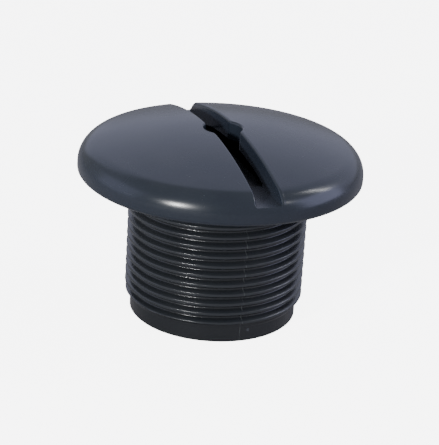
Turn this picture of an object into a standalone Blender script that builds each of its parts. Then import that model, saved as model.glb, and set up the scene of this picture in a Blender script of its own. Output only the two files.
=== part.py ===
"""Desk cable grommet: a slotted domed cap that turns on a threaded sleeve.

Units are metres and +Z is up.  The origin is the centre of the sleeve's bottom rim.
The cap's cable slot runs along Y.  A bar across the sleeve's deck lies under it and
closes it, until the cap is turned so that the slot lies over the deck's two openings.
"""
import math

import bmesh
import bpy

MM = 0.001
TURN = 2.0 * math.pi

# Driving dimensions
HEAD_RADIUS = 39.5 * MM
WIDEST_HEIGHT = 43.1 * MM
DOME_RISE = 11.2 * MM
RIM_ROUND = 6.6 * MM
RIM_BAND = 1.2 * MM
UNDERCUT_WIDTH = 7.2 * MM
UNDERCUT_HEIGHT = 2.55 * MM
SLOT_WIDTH = 6.8 * MM
SLOT_FLOOR_RISE = 2.7 * MM
CENTRE_HOLE_RADIUS = 5.2 * MM
THREAD_RADIUS = 25.05 * MM
THREAD_DEPTH = 1.55 * MM
THREAD_PITCH = 2.78 * MM
BORE_RADIUS = 21.3 * MM
GAP = 0.3 * MM

# Heights that follow from them
APEX = WIDEST_HEIGHT + DOME_RISE
SLOT_FLOOR = WIDEST_HEIGHT + SLOT_FLOOR_RISE
UNDERSIDE = WIDEST_HEIGHT - RIM_BAND - UNDERCUT_HEIGHT
DECK_TOP = SLOT_FLOOR - GAP
DECK_THICKNESS = 2.0 * MM
DECK_BOTTOM = DECK_TOP - DECK_THICKNESS

# Sleeve
ROOT_RADIUS = THREAD_RADIUS - THREAD_DEPTH
PILOT_RADIUS = 23.4 * MM
PILOT_TOP = 4.3 * MM
THREAD_BOTTOM = 4.6 * MM
THREAD_TOP = 36.6 * MM
THREAD_FADE = 1.6 * MM
THREAD_CREST_SHARE = 0.24
THREAD_FOOT_SHARE = 0.80
CREST_HEIGHT = 31.34 * MM
CREST_ANGLE = math.radians(249.8)
FLANGE_RADIUS = 30.0 * MM
FLANGE_BOTTOM = UNDERSIDE - 0.35 * MM
FLANGE_TOP = FLANGE_BOTTOM + 1.8 * MM
COLLAR_RADIUS = 23.7 * MM
CHAMFER = 0.5 * MM
DECK_BAR_WIDTH = 8.4 * MM
DECK_OPENING_RADIUS = 19.5 * MM

# Retaining ring, its two grooves, the drag ring and the seal
GROOVE_BOTTOM = 41.9 * MM
GROOVE_TOP = 43.4 * MM
SLEEVE_GROOVE_RADIUS = 22.9 * MM
CAP_GROOVE_RADIUS = 25.0 * MM
RING_THICKNESS = 0.8 * MM
RING_OPENING = math.radians(30.0)
DRAG_RING_RADIUS = 27.3 * MM
DRAG_RING_SECTION = 0.65 * MM
SEAL_INNER_RADIUS = 24.3 * MM
SEAL_OUTER_RADIUS = 29.4 * MM
SEAL_THICKNESS = 0.8 * MM

# Cap underside
COUNTERBORE_RADIUS = COLLAR_RADIUS + GAP
RECESS_RADIUS = FLANGE_RADIUS + 0.4 * MM
RECESS_CEILING = FLANGE_TOP + 0.5 * MM
CAVITY_EDGE = WIDEST_HEIGHT + 3.3 * MM
CAVITY_APEX = WIDEST_HEIGHT + 6.0 * MM

# Making
OVERCUT = 5.0 * MM
WELD = 0.001 * MM
SHARP_ANGLE = math.radians(30.0)
CAP_SEGMENTS = 64
SLEEVE_SEGMENTS = 48
RING_SEGMENTS = 36


def clear_scene():
    """Remove every object that the scene starts with."""
    for thing in list(bpy.data.objects):
        bpy.data.objects.remove(thing, do_unlink=True)


def make_material(name, colour, roughness):
    """Return a plain Principled material."""
    material = bpy.data.materials.new(name)
    material.use_nodes = True
    shader = material.node_tree.nodes["Principled BSDF"]
    shader.inputs["Base Color"].default_value = (*colour, 1.0)
    shader.inputs["Roughness"].default_value = roughness
    shader.inputs["Metallic"].default_value = 0.0
    return material


def finish(name, mesh_builder, material):
    """Turn a bmesh into a named object with outward faces and its material."""
    bmesh.ops.recalc_face_normals(mesh_builder, faces=mesh_builder.faces)
    mesh = bpy.data.meshes.new(name)
    mesh_builder.to_mesh(mesh)
    mesh_builder.free()
    mesh.shade_smooth()
    mesh.set_sharp_from_angle(angle=SHARP_ANGLE)
    mesh.materials.append(material)
    piece = bpy.data.objects.new(name, mesh)
    bpy.context.scene.collection.objects.link(piece)
    return piece


def as_cutter(piece):
    """Mark an object as a cutting tool that isn't part of the model."""
    piece.hide_render = True
    piece.display_type = "WIRE"
    return piece


def cut(piece, cutter):
    """Subtract a cutter from a piece."""
    boolean = piece.modifiers.new(cutter.name, "BOOLEAN")
    boolean.operation = "DIFFERENCE"
    boolean.solver = "EXACT"
    boolean.object = cutter


def arc(centre_r, centre_z, radius_r, radius_z, start, end, steps):
    """Return points on an elliptical arc, with angles in degrees from +r towards +z."""
    points = []
    for step in range(steps + 1):
        angle = math.radians(start + (end - start) * step / steps)
        points.append((centre_r + radius_r * math.cos(angle), centre_z + radius_z * math.sin(angle)))
    return points


def ring_of(builder, radius, height, segments):
    """Add one ring of vertices, or a single vertex on the axis."""
    if radius == 0.0:
        return [builder.verts.new((0.0, 0.0, height))] * segments
    ring = []
    for index in range(segments):
        angle = TURN * index / segments
        ring.append(builder.verts.new((radius * math.cos(angle), radius * math.sin(angle), height)))
    return ring


def bridge(builder, lower, upper):
    """Join two rings of equal length, leaving out what collapses on the axis."""
    count = len(lower)
    for index in range(count):
        after = (index + 1) % count
        corners = []
        for vertex in (lower[index], lower[after], upper[after], upper[index]):
            if vertex not in corners:
                corners.append(vertex)
        if len(corners) > 2:
            builder.faces.new(corners)


def lathe(profile, segments, closed=False):
    """Turn a profile of (radius, height) points about +Z."""
    builder = bmesh.new()
    rings = [ring_of(builder, radius, height, segments) for radius, height in profile]
    for lower, upper in zip(rings, rings[1:]):
        bridge(builder, lower, upper)
    if closed:
        bridge(builder, rings[-1], rings[0])
    return builder


def box_cutter(name, low, high, material):
    """Return a box-shaped cutter between two corners."""
    builder = bmesh.new()
    bmesh.ops.create_cube(builder, size=1.0)
    for vertex in builder.verts:
        for axis in range(3):
            vertex.co[axis] = low[axis] + (vertex.co[axis] + 0.5) * (high[axis] - low[axis])
    return as_cutter(finish(name, builder, material))


def segment_cutter(name, side, low, high, material):
    """Return a cutter with one straight side along the deck's bar and one round side."""
    half_bar = 0.5 * DECK_BAR_WIDTH
    reach = math.degrees(math.acos(half_bar / DECK_OPENING_RADIUS))
    outline = arc(0.0, 0.0, side * DECK_OPENING_RADIUS, DECK_OPENING_RADIUS, -reach, reach, 23)
    builder = bmesh.new()
    face = builder.faces.new([builder.verts.new((x, y, low)) for x, y in outline])
    raised = bmesh.ops.extrude_face_region(builder, geom=[face])["geom"]
    for item in raised:
        if isinstance(item, bmesh.types.BMVert):
            item.co.z = high
    return as_cutter(finish(name, builder, material))


def dome_profile():
    """Return the cap's outside from the apex down to its underside."""
    rim_centre = HEAD_RADIUS - RIM_ROUND
    rise = DOME_RISE - RIM_ROUND
    drop = (rim_centre ** 2 - rise ** 2) / (2.0 * rise)
    dome_radius = DOME_RISE + drop
    tangent = math.degrees(math.atan2(drop, rim_centre))
    points = arc(0.0, WIDEST_HEIGHT - drop, dome_radius, dome_radius, 90.0, tangent, 9)
    points[0] = (0.0, APEX)
    points += arc(rim_centre, WIDEST_HEIGHT, RIM_ROUND, RIM_ROUND, tangent, 0.0, 8)[1:]
    ellipse_centre = HEAD_RADIUS - UNDERCUT_WIDTH
    ellipse_top = WIDEST_HEIGHT - RIM_BAND
    points += arc(ellipse_centre, ellipse_top, UNDERCUT_WIDTH, UNDERCUT_HEIGHT, 0.0, -90.0, 6)
    return points


def cap_underside_profile():
    """Return the cap's inside from its underside up to the top of the cavity."""
    groove_inner = DRAG_RING_RADIUS - DRAG_RING_SECTION - GAP
    groove_outer = DRAG_RING_RADIUS + DRAG_RING_SECTION + GAP
    groove_ceiling = FLANGE_TOP + 2.0 * DRAG_RING_SECTION + 2.0 * GAP
    points = [
        (RECESS_RADIUS, UNDERSIDE),
        (RECESS_RADIUS, RECESS_CEILING),
        (groove_outer, RECESS_CEILING),
        (groove_outer, groove_ceiling),
        (groove_inner, groove_ceiling),
        (groove_inner, RECESS_CEILING),
        (COUNTERBORE_RADIUS, RECESS_CEILING),
        (COUNTERBORE_RADIUS, GROOVE_BOTTOM),
        (CAP_GROOVE_RADIUS, GROOVE_BOTTOM),
        (CAP_GROOVE_RADIUS, GROOVE_TOP),
        (COUNTERBORE_RADIUS, GROOVE_TOP),
    ]
    height = CAVITY_APEX - CAVITY_EDGE
    ceiling_radius = (COUNTERBORE_RADIUS ** 2 + height ** 2) / (2.0 * height)
    edge_angle = math.degrees(math.acos(COUNTERBORE_RADIUS / ceiling_radius))
    ceiling = arc(0.0, CAVITY_APEX - ceiling_radius, ceiling_radius, ceiling_radius, edge_angle, 90.0, 7)
    ceiling[-1] = (0.0, CAVITY_APEX)
    return points + ceiling


def make_cap(material):
    """Make the domed head with its slot from rim to rim and its round centre hole."""
    profile = dome_profile() + cap_underside_profile()
    cap = finish("slotted_cap", lathe(profile, CAP_SEGMENTS), material)
    half = 0.5 * SLOT_WIDTH
    reach = HEAD_RADIUS + OVERCUT
    above = APEX + OVERCUT
    cut(cap, box_cutter("slot_cutter", (-half, -reach, SLOT_FLOOR), (half, reach, above), material))
    shaft = lathe([(0.0, CAVITY_EDGE), (CENTRE_HOLE_RADIUS, CAVITY_EDGE),
                   (CENTRE_HOLE_RADIUS, above), (0.0, above)], RING_SEGMENTS)
    cut(cap, as_cutter(finish("centre_hole_cutter", shaft, material)))
    return cap


def thread_rows():
    """Return rows of (height above the helix start, radius) through all the thread's turns."""
    crest = 0.5 * THREAD_CREST_SHARE
    foot = 0.5 * THREAD_FOOT_SHARE
    shape = ((-foot, 0.0), (-crest, 1.0), (crest, 1.0), (foot, 0.0))
    turns = math.ceil((THREAD_TOP - THREAD_BOTTOM) / THREAD_PITCH) + 2
    rows = []
    for turn in range(-1, turns):
        for offset, depth in shape:
            rows.append(((turn + offset) * THREAD_PITCH, ROOT_RADIUS + depth * THREAD_DEPTH))
    return rows, len(shape)


def thread_point(builder, angle, rise, radius):
    """Add one thread vertex, held inside the thread's ends and run out towards them."""
    first_crest = (CREST_HEIGHT - THREAD_BOTTOM) % THREAD_PITCH
    lead = THREAD_PITCH * (angle - CREST_ANGLE) / TURN
    height = THREAD_BOTTOM + first_crest + lead + rise
    height = min(max(height, THREAD_BOTTOM), THREAD_TOP)
    nearest_end = min(height - THREAD_BOTTOM, THREAD_TOP - height)
    depth = (radius - ROOT_RADIUS) * min(nearest_end / THREAD_FADE, 1.0)
    reach = ROOT_RADIUS + depth
    return builder.verts.new((reach * math.cos(angle), reach * math.sin(angle), height))


def add_thread(builder):
    """Add the right-hand thread, and return its lowest and highest rings of vertices."""
    rows, per_turn = thread_rows()
    columns = []
    for index in range(SLEEVE_SEGMENTS):
        angle = TURN * index / SLEEVE_SEGMENTS
        columns.append([thread_point(builder, angle, rise, radius) for rise, radius in rows])
    for index, column in enumerate(columns):
        last = index == SLEEVE_SEGMENTS - 1
        following = columns[(index + 1) % SLEEVE_SEGMENTS]
        shift = per_turn if last else 0
        for row in range(len(rows) - 1 - per_turn):
            builder.faces.new((column[row], following[row + shift],
                               following[row + 1 + shift], column[row + 1]))
    lowest = [column[0] for column in columns]
    highest = [column[-1] for column in columns]
    return lowest, highest


def sleeve_profiles():
    """Return the sleeve's outlines below the thread, above it, and from the deck down the bore."""
    below = [
        (BORE_RADIUS, CHAMFER),
        (BORE_RADIUS + CHAMFER, 0.0),
        (PILOT_RADIUS - CHAMFER, 0.0),
        (PILOT_RADIUS, CHAMFER),
        (PILOT_RADIUS, PILOT_TOP),
    ]
    above = [
        (ROOT_RADIUS, FLANGE_BOTTOM),
        (FLANGE_RADIUS - CHAMFER, FLANGE_BOTTOM),
        (FLANGE_RADIUS, FLANGE_BOTTOM + CHAMFER),
        (FLANGE_RADIUS, FLANGE_TOP),
        (COLLAR_RADIUS, FLANGE_TOP),
        (COLLAR_RADIUS, GROOVE_BOTTOM),
        (SLEEVE_GROOVE_RADIUS, GROOVE_BOTTOM),
        (SLEEVE_GROOVE_RADIUS, GROOVE_TOP),
        (COLLAR_RADIUS, GROOVE_TOP),
        (COLLAR_RADIUS, DECK_TOP - CHAMFER),
        (COLLAR_RADIUS - CHAMFER, DECK_TOP),
    ]
    inside = [
        (BORE_RADIUS - 2.0 * CHAMFER, DECK_BOTTOM),
        (BORE_RADIUS, DECK_BOTTOM - 2.0 * CHAMFER),
    ]
    return below, above, inside


def make_sleeve(material):
    """Make the threaded barrel with its flange, collar and pierced deck as one body."""
    builder = bmesh.new()
    below, above, inside = [
        [ring_of(builder, radius, height, SLEEVE_SEGMENTS) for radius, height in profile]
        for profile in sleeve_profiles()
    ]
    lowest, highest = add_thread(builder)
    for rings in (below + [lowest], [highest] + above, inside + [below[0]]):
        for first, second in zip(rings, rings[1:]):
            bridge(builder, first, second)
    builder.faces.new(above[-1])
    builder.faces.new(inside[0])
    bmesh.ops.remove_doubles(builder, verts=builder.verts, dist=WELD)
    bmesh.ops.dissolve_degenerate(builder, edges=builder.edges, dist=WELD)
    sleeve = finish("threaded_sleeve", builder, material)
    low = DECK_BOTTOM - OVERCUT
    high = DECK_TOP + OVERCUT
    for name, side in (("left_opening_cutter", -1.0), ("right_opening_cutter", 1.0)):
        cut(sleeve, segment_cutter(name, side, low, high, material))
    return sleeve


def make_snap_ring(material):
    """Make the open ring that sits in the sleeve's groove and the cap's groove."""
    inner = SLEEVE_GROOVE_RADIUS + GAP
    outer = CAP_GROOVE_RADIUS - GAP
    middle = 0.5 * (GROOVE_BOTTOM + GROOVE_TOP)
    low = middle - 0.5 * RING_THICKNESS
    high = middle + 0.5 * RING_THICKNESS
    builder = bmesh.new()
    sections = []
    for index in range(RING_SEGMENTS + 1):
        share = index / RING_SEGMENTS
        angle = 0.25 * TURN + 0.5 * RING_OPENING + (TURN - RING_OPENING) * share
        section = []
        for radius, height in ((inner, low), (outer, low), (outer, high), (inner, high)):
            section.append(builder.verts.new((radius * math.cos(angle), radius * math.sin(angle), height)))
        sections.append(section)
    for first, second in zip(sections, sections[1:]):
        bridge(builder, first, second)
    builder.faces.new(sections[0])
    builder.faces.new(sections[-1])
    return finish("snap_ring", builder, material)


def make_drag_ring(material):
    """Make the rubber ring that gives the cap its turning drag."""
    height = FLANGE_TOP + GAP + DRAG_RING_SECTION
    profile = arc(DRAG_RING_RADIUS, height, DRAG_RING_SECTION, DRAG_RING_SECTION, 0.0, 360.0, 8)[:-1]
    return finish("drag_ring", lathe(profile, RING_SEGMENTS, closed=True), material)


def make_flange_seal(material):
    """Make the flat rubber washer that lies between the flange and the desk."""
    high = FLANGE_BOTTOM - GAP
    low = high - SEAL_THICKNESS
    profile = [
        (SEAL_INNER_RADIUS, low),
        (SEAL_OUTER_RADIUS, low),
        (SEAL_OUTER_RADIUS, high),
        (SEAL_INNER_RADIUS, high),
    ]
    return finish("flange_seal", lathe(profile, SLEEVE_SEGMENTS, closed=True), material)


def main():
    """Build the grommet."""
    clear_scene()
    slate = (0.050, 0.060, 0.078)
    make_cap(make_material("cap_plastic", slate, 0.34))
    make_sleeve(make_material("sleeve_plastic", slate, 0.42))
    make_snap_ring(make_material("spring_steel", (0.45, 0.45, 0.46), 0.35))
    make_drag_ring(make_material("ring_rubber", (0.02, 0.02, 0.02), 0.65))
    make_flange_seal(make_material("seal_rubber", (0.025, 0.025, 0.027), 0.8))


main()
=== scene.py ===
"""Looks for a desk cable grommet: a turning slotted cap on a threaded sleeve.

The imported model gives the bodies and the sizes.  Each visible piece is rebuilt here with
its moulded edges, its fine thread and its finish.  Lengths are in metres and +Z is up.
"""
from __future__ import annotations

import logging
import math
from collections.abc import Iterable, Sequence
from dataclasses import dataclass, field
from enum import Enum

import bmesh
import bpy
from mathutils import Matrix, Vector

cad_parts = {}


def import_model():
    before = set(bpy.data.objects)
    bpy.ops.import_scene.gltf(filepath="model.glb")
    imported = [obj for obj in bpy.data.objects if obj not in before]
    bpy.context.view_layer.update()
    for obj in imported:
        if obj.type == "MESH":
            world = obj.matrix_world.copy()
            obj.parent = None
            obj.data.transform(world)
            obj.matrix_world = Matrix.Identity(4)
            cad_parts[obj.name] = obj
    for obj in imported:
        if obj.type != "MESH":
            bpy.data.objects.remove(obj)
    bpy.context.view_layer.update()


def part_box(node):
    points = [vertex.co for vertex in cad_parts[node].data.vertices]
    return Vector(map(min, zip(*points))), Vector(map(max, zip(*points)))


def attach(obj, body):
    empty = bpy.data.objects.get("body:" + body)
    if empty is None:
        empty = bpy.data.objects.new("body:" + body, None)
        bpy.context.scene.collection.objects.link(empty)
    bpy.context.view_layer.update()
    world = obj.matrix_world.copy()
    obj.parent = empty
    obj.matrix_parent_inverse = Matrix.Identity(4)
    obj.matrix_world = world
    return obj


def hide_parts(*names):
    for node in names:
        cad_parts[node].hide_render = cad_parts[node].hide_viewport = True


LOG = logging.getLogger("grommet")
MM = 0.001
TURN = 2.0 * math.pi
WELD = 0.001 * MM
SMOOTH_ANGLE = math.radians(38.0)
SEAM_WELD = 0.004 * MM
SLIVER = 0.002 * MM
NEARLY_STRAIGHT = math.radians(87.0)
CORNER_REACH = 0.45

Point2 = tuple[float, float]
Colour = tuple[float, float, float]


class Body(Enum):
    """The rigid bodies of the grommet."""

    SLEEVE = "sleeve"
    CAP = "cap"


class Feel(Enum):
    """What a surface shows of how it was made."""

    PLAIN = "plain"
    MOULDED = "moulded"
    THREADED = "threaded"


# --------------------------------------------------------------------------------------
# Outlines and meshes
# --------------------------------------------------------------------------------------

def smoothstep(value: float) -> float:
    """Return the smooth ramp from 0 to 1 of a value between 0 and 1."""
    held = min(max(value, 0.0), 1.0)
    return held * held * (3.0 - 2.0 * held)


def arc(centre: Point2, radii: Point2, start: float, end: float, steps: int) -> list[Point2]:
    """Return points on an elliptical arc.

    Args:
        centre: The arc's centre.
        radii: Its two half axes.
        start: The first angle in degrees, from the first axis towards the second.
        end: The last angle in degrees.
        steps: The number of steps between them.

    Returns:
        The points from the first angle to the last.
    """
    points = []
    for step in range(steps + 1):
        angle = math.radians(start + (end - start) * step / steps)
        points.append((centre[0] + radii[0] * math.cos(angle), centre[1] + radii[1] * math.sin(angle)))
    return points


def rounded(points: Sequence[Point2], radius: float, steps: int = 4) -> list[Point2]:
    """Return an open outline with its inner corners rounded.

    Args:
        points: The outline's corners.
        radius: The wanted radius, which short sides make smaller.
        steps: The number of steps in each rounded corner.

    Returns:
        The outline with an arc in place of each corner between its two ends.
    """
    result = [points[0]]
    for before, corner, after in zip(points, points[1:], points[2:]):
        here = Vector(corner)
        inward = Vector(before) - here
        outward = Vector(after) - here
        if min(inward.length, outward.length) < WELD or min(corner[0], before[0]) < WELD:
            result.append(corner)
            continue
        half = 0.5 * inward.angle(outward)
        if half > NEARLY_STRAIGHT:
            result.append(corner)
            continue
        reach = min(radius / math.tan(half), CORNER_REACH * inward.length, CORNER_REACH * outward.length)
        first = here + inward.normalized() * reach
        last = here + outward.normalized() * reach
        for step in range(steps + 1):
            share = step / steps
            low = first.lerp(here, share)
            high = here.lerp(last, share)
            result.append(tuple(low.lerp(high, share)))
    result.append(points[-1])
    return result


def add_ring(builder: bmesh.types.BMesh, radius: float, height: float, segments: int) -> list:
    """Add a ring of vertices about +Z, or one vertex where the radius is nought."""
    if radius < WELD:
        return [builder.verts.new((0.0, 0.0, height))] * segments
    ring = []
    for index in range(segments):
        angle = TURN * index / segments
        ring.append(builder.verts.new((radius * math.cos(angle), radius * math.sin(angle), height)))
    return ring


def add_face(builder: bmesh.types.BMesh, corners: Iterable) -> None:
    """Add a face unless its corners fall together."""
    kept = list(dict.fromkeys(corners))
    if len(kept) > 2:
        builder.faces.new(kept)


def bridge(builder: bmesh.types.BMesh, lower: Sequence, upper: Sequence) -> None:
    """Join two rings that have the same number of vertices."""
    count = len(lower)
    for index in range(count):
        after = (index + 1) % count
        add_face(builder, (lower[index], lower[after], upper[after], upper[index]))


def strip(builder: bmesh.types.BMesh, line: Sequence, following: Sequence) -> None:
    """Join two open lines that have the same number of vertices."""
    for index in range(len(line) - 1):
        add_face(builder, (line[index], following[index], following[index + 1], line[index + 1]))


def turn_outline(builder: bmesh.types.BMesh, profile: Sequence[Point2], segments: int) -> list[list]:
    """Turn an open outline about +Z into a builder, and return its rings of vertices."""
    rings = [add_ring(builder, radius, height, segments) for radius, height in profile]
    for lower, upper in zip(rings, rings[1:]):
        bridge(builder, lower, upper)
    return rings


def lathe(profile: Sequence[Point2], segments: int, closed: bool = False) -> bmesh.types.BMesh:
    """Turn an outline of radius and height about +Z.

    Args:
        profile: The outline's points.
        segments: The number of segments in a full turn.
        closed: Whether the last point joins the first.

    Returns:
        A new mesh builder with the turned surface.
    """
    builder = bmesh.new()
    rings = turn_outline(builder, profile, segments)
    if closed:
        bridge(builder, rings[-1], rings[0])
    return builder


def link(name: str, builder: bmesh.types.BMesh) -> bpy.types.Object:
    """Turn a mesh builder into a named object whose faces point outwards.

    Args:
        name: The object's name.
        builder: The mesh builder, which is freed.

    Returns:
        The new object at the origin.
    """
    bmesh.ops.remove_doubles(builder, verts=builder.verts, dist=WELD)
    bmesh.ops.dissolve_degenerate(builder, edges=builder.edges, dist=WELD)
    bmesh.ops.recalc_face_normals(builder, faces=builder.faces)
    mesh = bpy.data.meshes.new(name)
    builder.to_mesh(mesh)
    builder.free()
    piece = bpy.data.objects.new(name, mesh)
    bpy.context.scene.collection.objects.link(piece)
    return piece


def settle(piece: bpy.types.Object) -> None:
    """Replace a piece's mesh with its evaluated mesh and remove its modifiers."""
    graph = bpy.context.evaluated_depsgraph_get()
    graph.update()
    evaluated = piece.evaluated_get(graph)
    mesh = bpy.data.meshes.new_from_object(evaluated, depsgraph=graph)
    mesh.name = piece.name
    piece.modifiers.clear()
    piece.data = mesh


def shade(piece: bpy.types.Object) -> None:
    """Shade a piece smooth, with its flats kept flat and its true corners sharp."""
    piece.data.shade_smooth()
    piece.data.set_sharp_from_angle(angle=SMOOTH_ANGLE)
    flats = piece.modifiers.new("flat_faces", "WEIGHTED_NORMAL")
    flats.keep_sharp = True
    settle(piece)


def carve(piece: bpy.types.Object, *cutters: bpy.types.Object) -> None:
    """Subtract cutters from a piece for good, and remove the cutters."""
    for cutter in cutters:
        boolean = piece.modifiers.new(cutter.name, "BOOLEAN")
        boolean.operation = "DIFFERENCE"
        boolean.solver = "EXACT"
        boolean.object = cutter
    settle(piece)
    for cutter in cutters:
        bpy.data.objects.remove(cutter, do_unlink=True)


# --------------------------------------------------------------------------------------
# Node trees
# --------------------------------------------------------------------------------------

@dataclass
class Wiring:
    """Adds and joins nodes in one tree."""

    tree: bpy.types.NodeTree

    def add(self, kind: str, **settings: object) -> bpy.types.Node:
        """Add a node and set its properties.

        Args:
            kind: The node's type name.
            **settings: The properties to set on it.

        Returns:
            The new node.
        """
        node = self.tree.nodes.new(kind)
        for name, value in settings.items():
            setattr(node, name, value)
        return node

    def feed(self, socket: bpy.types.NodeSocket, value: object) -> None:
        """Join an output socket to an input, or set the input's plain value."""
        if isinstance(value, bpy.types.NodeSocket):
            self.tree.links.new(value, socket)
        else:
            socket.default_value = value

    def put(self, kind: str, inputs: dict[str, object], **settings: object) -> bpy.types.Node:
        """Add a node, set its properties and feed its named inputs."""
        node = self.add(kind, **settings)
        for name, value in inputs.items():
            self.feed(node.inputs[name], value)
        return node

    def math(self, operation: str, *values: object, clamp: bool = False) -> bpy.types.NodeSocket:
        """Add a Math node.

        Args:
            operation: The node's operation.
            *values: Its inputs, as sockets or numbers.
            clamp: Whether the result is held between 0 and 1.

        Returns:
            The node's output socket.
        """
        node = self.add("ShaderNodeMath", operation=operation, use_clamp=clamp)
        for socket, value in zip(node.inputs, values):
            self.feed(socket, value)
        return node.outputs[0]

    def product(self, first: object, second: object, clamp: bool = False) -> bpy.types.NodeSocket:
        """Multiply two values."""
        return self.math("MULTIPLY", first, second, clamp=clamp)

    def ramp(self, value: object, low: float, high: float, start: object = 0.0, end: object = 1.0,
             kind: str = "SMOOTHSTEP") -> bpy.types.NodeSocket:
        """Add a Map Range node that is held at both ends.

        Args:
            value: The value to map.
            low: The value that gives start.
            high: The value that gives end.
            start: The first result.
            end: The last result.
            kind: The node's interpolation.

        Returns:
            The node's result socket.
        """
        inputs = {"Value": value, "From Min": low, "From Max": high, "To Min": start, "To Max": end}
        return self.put("ShaderNodeMapRange", inputs, interpolation_type=kind).outputs["Result"]

    def noise(self, vector: object, scale: object, detail: float = 2.0,
              roughness: float = 0.5) -> bpy.types.NodeSocket:
        """Add a three-dimensional Noise Texture and return its factor socket."""
        inputs = {"Vector": vector, "Scale": scale, "Detail": detail, "Roughness": roughness}
        return self.put("ShaderNodeTexNoise", inputs, noise_dimensions="3D").outputs["Fac"]

    def group(self, tree: bpy.types.NodeTree, vector: bpy.types.NodeSocket,
              values: dict[str, object]) -> bpy.types.Node:
        """Place a shared effect and set its inputs.

        Args:
            tree: The effect's node group.
            vector: The place that the effect reads.
            values: The other inputs by name, as sockets or numbers.

        Returns:
            The group's node.
        """
        return self.put("ShaderNodeGroup", {"Vector": vector, **values}, node_tree=tree)

    def blend(self, factor: object, first: object, second: object,
              mode: str = "MIX") -> bpy.types.NodeSocket:
        """Add a colour Mix node and return its result socket."""
        node = self.add("ShaderNodeMix", data_type="RGBA", clamp_factor=True, blend_type=mode)
        self.feed(node.inputs[0], factor)
        self.feed(node.inputs[6], first)
        self.feed(node.inputs[7], second)
        return node.outputs[2]


GroupParts = tuple[Wiring, dict[str, bpy.types.NodeSocket], bpy.types.Node]


def open_group(name: str, inputs: Sequence[tuple[str, str, float]],
               outputs: Sequence[tuple[str, str]]) -> GroupParts:
    """Start a shader node group with named sockets.

    Args:
        name: The group's name.
        inputs: Name, socket type and default of each input.
        outputs: Name and socket type of each output.

    Returns:
        The wiring, the input sockets by name and the group's output node.
    """
    tree = bpy.data.node_groups.new(name, "ShaderNodeTree")
    for label, kind, default in inputs:
        socket = tree.interface.new_socket(label, in_out="INPUT", socket_type=kind)
        if kind == "NodeSocketFloat":
            socket.default_value = default
    for label, kind in outputs:
        tree.interface.new_socket(label, in_out="OUTPUT", socket_type=kind)
    wiring = Wiring(tree)
    source = wiring.add("NodeGroupInput")
    sockets = {label: source.outputs[label] for label, _, _ in inputs}
    return wiring, sockets, wiring.add("NodeGroupOutput")


# The barrel's mould marks: where the gate is, and the sizes of its scar, the line and the comb.
GATE_PLACE = (0.0024, -0.02332, 0.0034)
GATE_RAGGED = 0.0009
GATE_OUTER = 0.0009
GATE_INNER = 0.0007
PARTING_WANDER = 0.0002
PARTING_INSET = 0.0003
COMB_SCALE = 2600.0
COMB_STRETCH = (1.0, 1.0, 0.04)


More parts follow.
